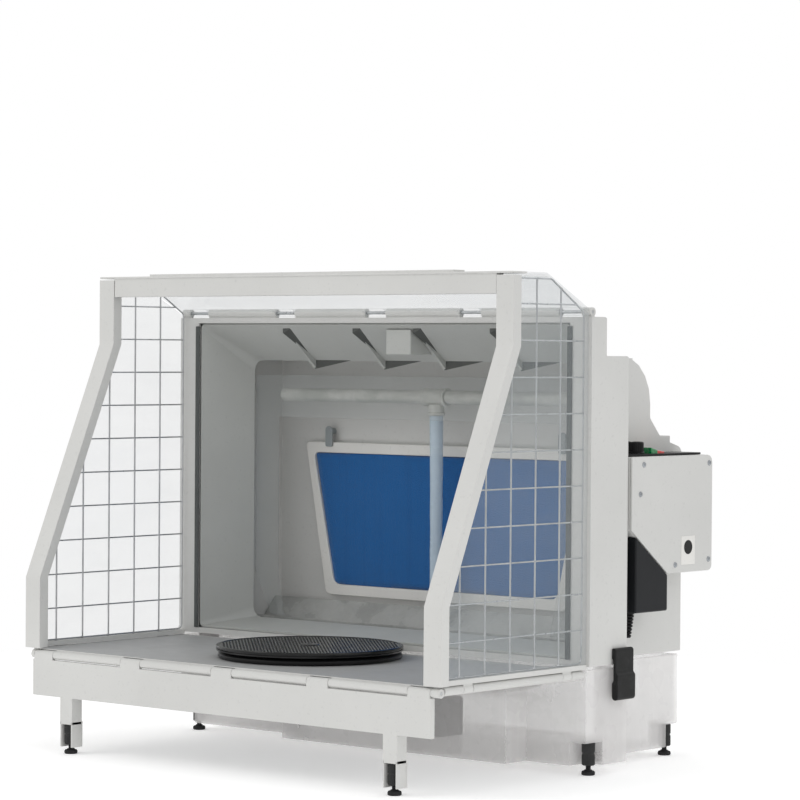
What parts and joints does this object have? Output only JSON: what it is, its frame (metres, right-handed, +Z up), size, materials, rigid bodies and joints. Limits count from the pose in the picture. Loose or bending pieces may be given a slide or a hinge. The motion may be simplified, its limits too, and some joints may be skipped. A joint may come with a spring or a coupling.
{
  "type": "spray booth",
  "caption": "Folding tabletop spray booth with clear wire-backed sides, sloping roof, turntable, water-curtain filter, tank on levelling feet and exhaust hose.",
  "frame": {"origin": "centre of the booth's outline on the surface it stands on, without its exhaust hose", "axes": "+X to the right along the open front, +Y to the exhaust side, +Z up"},
  "size_m": [1.0554, 0.869, 0.5107],
  "materials": {
    "shell_plastic": "satin moulded light warm grey, fine grain",
    "inner_plastic": "satin moulded grey",
    "floor_plastic": "fine-grained satin grey",
    "white_plastic": "semi-gloss off-white",
    "clear_plastic": "clear polished sheet",
    "roof_plastic": "clear sheet",
    "tank_plastic": "milky translucent",
    "feed_hose_plastic": "translucent bluish",
    "filter_foam": "matt blue foam",
    "steel": "bright zinc-plated wire",
    "black_plastic": "satin black, light grain",
    "rocker_plastic": "glossy green and red",
    "turntable_plastic": "gloss black, studded top",
    "foot_rubber": "matt black, knurled",
    "hose_plastic": "satin light grey corrugated"
  },
  "bodies": {
    "cabinet": {"cabinet_shell": "shell_plastic", "rear_housing": "shell_plastic", "outlet_spigot": "shell_plastic", "control_box": "shell_plastic", "control_cover": "shell_plastic", "intake_funnel": "inner_plastic", "gutter_tray": "inner_plastic", "floor_panel": "floor_plastic", "filter_frame": "white_plastic", "spray_pipe": "white_plastic", "pipe_tee": "white_plastic", "funnel_light": "white_plastic", "splash_guard": "clear_plastic", "water_tank": "tank_plastic", "feed_hose": "feed_hose_plastic", "filter_pad": "filter_foam", "leg_hinge_pin": "steel", "roof_hinge_pin": "steel", "side_hinge_pin_left": "steel", "side_hinge_pin_right": "steel", "hose_clamp": "steel", "fan_motor": "steel", "blower_housing": "black_plastic", "switch_plate": "black_plastic", "power_adapter": "black_plastic", "strain_relief": "black_plastic", "water_pump": "black_plastic", "turntable_base": "turntable_plastic", "exhaust_hose": "hose_plastic", "hose_coupling": "hose_plastic", "flat_nozzle": "hose_plastic"},
    "roof": {"roof_sheet": "roof_plastic", "roof_bar": "shell_plastic"},
    "side_left": {"side_post_left": "shell_plastic", "side_sheet_left": "clear_plastic", "side_mesh_left": "steel"},
    "side_right": {"side_post_right": "shell_plastic", "side_sheet_right": "clear_plastic", "side_mesh_right": "steel"},
    "leg_panel": {"leg_panel": "shell_plastic"},
    "turntable": {"turntable_platter": "turntable_plastic"},
    "fan": {"fan_impeller": "black_plastic"},
    "knob": {"speed_knob": "black_plastic"},
    "rocker": {"rocker_switch": "rocker_plastic"},
    "latch_left": {"tank_latch_left": "black_plastic"},
    "latch_right": {"tank_latch_right": "black_plastic"},
    "clip_left": {"filter_clip_left": "inner_plastic"},
    "clip_right": {"filter_clip_right": "inner_plastic"},
    "wheel_leg_left": {"thumbwheel_leg_left": "foot_rubber"},
    "foot_leg_left": {"foot_leg_left": "foot_rubber"},
    "wheel_leg_right": {"thumbwheel_leg_right": "foot_rubber"},
    "foot_leg_right": {"foot_leg_right": "foot_rubber"},
    "wheel_front_left": {"thumbwheel_front_left": "foot_rubber"},
    "foot_front_left": {"foot_front_left": "foot_rubber"},
    "wheel_front_right": {"thumbwheel_front_right": "foot_rubber"},
    "foot_front_right": {"foot_front_right": "foot_rubber"},
    "wheel_back_left": {"thumbwheel_back_left": "foot_rubber"},
    "foot_back_left": {"foot_back_left": "foot_rubber"},
    "wheel_back_right": {"thumbwheel_back_right": "foot_rubber"},
    "foot_back_right": {"foot_back_right": "foot_rubber"}
  },
  "joints": [
    {"name": "roof_lift", "type": "hinge", "parent": "cabinet", "child": "roof", "pos_m": [0, 0.00635, 0.4705], "axis": [-1, 0, 0], "range_deg": [0, 100]},
    {"name": "side_left_fold", "type": "hinge", "parent": "cabinet", "child": "side_left", "pos_m": [-0.2835, -0.11465, 0.1043], "axis": [0, -1, 0], "range_deg": [0, 90]},
    {"name": "side_right_fold", "type": "hinge", "parent": "cabinet", "child": "side_right", "pos_m": [0.2835, -0.11465, 0.1043], "axis": [0, 1, 0], "range_deg": [0, 90]},
    {"name": "leg_panel_fold", "type": "hinge", "parent": "cabinet", "child": "leg_panel", "pos_m": [0, -0.22715, 0.103], "axis": [1, 0, 0], "range_deg": [0, 76]},
    {"name": "turntable_spin", "type": "hinge", "parent": "cabinet", "child": "turntable", "pos_m": [0, -0.09715, 0.116], "axis": [0, 0, 1], "continuous": true},
    {"name": "fan_spin", "type": "hinge", "parent": "cabinet", "child": "fan", "pos_m": [-0.12, 0.1491, 0.232], "axis": [0, 1, 0], "continuous": true},
    {"name": "speed_turn", "type": "hinge", "parent": "cabinet", "child": "knob", "pos_m": [0.26865, 0.10635, 0.325], "axis": [0, 0, -1], "range_deg": [0, 270]},
    {"name": "rocker_tilt", "type": "hinge", "parent": "cabinet", "child": "rocker", "pos_m": [0.26865, 0.13635, 0.3235], "axis": [1, 0, 0], "range_deg": [0, 9]},
    {"name": "latch_left_swing", "type": "hinge", "parent": "cabinet", "child": "latch_left", "pos_m": [-0.29415, 0.05485, 0.07935], "axis": [0, -1, 0], "range_deg": [0, 100]},
    {"name": "latch_right_swing", "type": "hinge", "parent": "cabinet", "child": "latch_right", "pos_m": [0.29415, 0.05485, 0.07935], "axis": [0, 1, 0], "range_deg": [0, 100]},
    {"name": "clip_left_turn", "type": "hinge", "parent": "cabinet", "child": "clip_left", "pos_m": [-0.166, 0.11735, 0.339], "axis": [0, 1, 0], "range_deg": [0, 90]},
    {"name": "clip_right_turn", "type": "hinge", "parent": "cabinet", "child": "clip_right", "pos_m": [0.166, 0.11735, 0.339], "axis": [0, -1, 0], "range_deg": [0, 90]},
    {"name": "wheel_leg_left_turn", "type": "hinge", "parent": "leg_panel", "child": "wheel_leg_left", "pos_m": [-0.2265, -0.22415, 0.02], "axis": [0, 0, 1], "range_deg": [0, 1440]},
    {"name": "foot_leg_left_slide", "type": "slide", "parent": "leg_panel", "child": "foot_leg_left", "axis": [0, 0, -1], "range_m": [0, 0.00599]},
    {"name": "wheel_leg_right_turn", "type": "hinge", "parent": "leg_panel", "child": "wheel_leg_right", "pos_m": [0.2265, -0.22415, 0.02], "axis": [0, 0, 1], "range_deg": [0, 1440]},
    {"name": "foot_leg_right_slide", "type": "slide", "parent": "leg_panel", "child": "foot_leg_right", "axis": [0, 0, -1], "range_m": [0, 0.00599]},
    {"name": "wheel_front_left_turn", "type": "hinge", "parent": "cabinet", "child": "wheel_front_left", "pos_m": [-0.2755, 0.02085, 0.02], "axis": [0, 0, 1], "range_deg": [0, 1440]},
    {"name": "foot_front_left_slide", "type": "slide", "parent": "cabinet", "child": "foot_front_left", "axis": [0, 0, -1], "range_m": [0, 0.00599]},
    {"name": "wheel_front_right_turn", "type": "hinge", "parent": "cabinet", "child": "wheel_front_right", "pos_m": [0.2755, 0.02085, 0.02], "axis": [0, 0, 1], "range_deg": [0, 1440]},
    {"name": "foot_front_right_slide", "type": "slide", "parent": "cabinet", "child": "foot_front_right", "axis": [0, 0, -1], "range_m": [0, 0.00599]},
    {"name": "wheel_back_left_turn", "type": "hinge", "parent": "cabinet", "child": "wheel_back_left", "pos_m": [-0.2385, 0.20435, 0.02], "axis": [0, 0, 1], "range_deg": [0, 1440]},
    {"name": "foot_back_left_slide", "type": "slide", "parent": "cabinet", "child": "foot_back_left", "axis": [0, 0, -1], "range_m": [0, 0.00599]},
    {"name": "wheel_back_right_turn", "type": "hinge", "parent": "cabinet", "child": "wheel_back_right", "pos_m": [0.2385, 0.20435, 0.02], "axis": [0, 0, 1], "range_deg": [0, 1440]},
    {"name": "foot_back_right_slide", "type": "slide", "parent": "cabinet", "child": "foot_back_right", "axis": [0, 0, -1], "range_m": [0, 0.00599]}
  ],
  "couplings": [
    {"joint": "wheel_leg_left_turn", "follows": "foot_leg_left_slide", "rad_per_m": 4188.8},
    {"joint": "wheel_leg_right_turn", "follows": "foot_leg_right_slide", "rad_per_m": 4188.8},
    {"joint": "wheel_front_left_turn", "follows": "foot_front_left_slide", "rad_per_m": 4188.8},
    {"joint": "wheel_front_right_turn", "follows": "foot_front_right_slide", "rad_per_m": 4188.8},
    {"joint": "wheel_back_left_turn", "follows": "foot_back_left_slide", "rad_per_m": 4188.8},
    {"joint": "wheel_back_right_turn", "follows": "foot_back_right_slide", "rad_per_m": 4188.8}
  ]
}
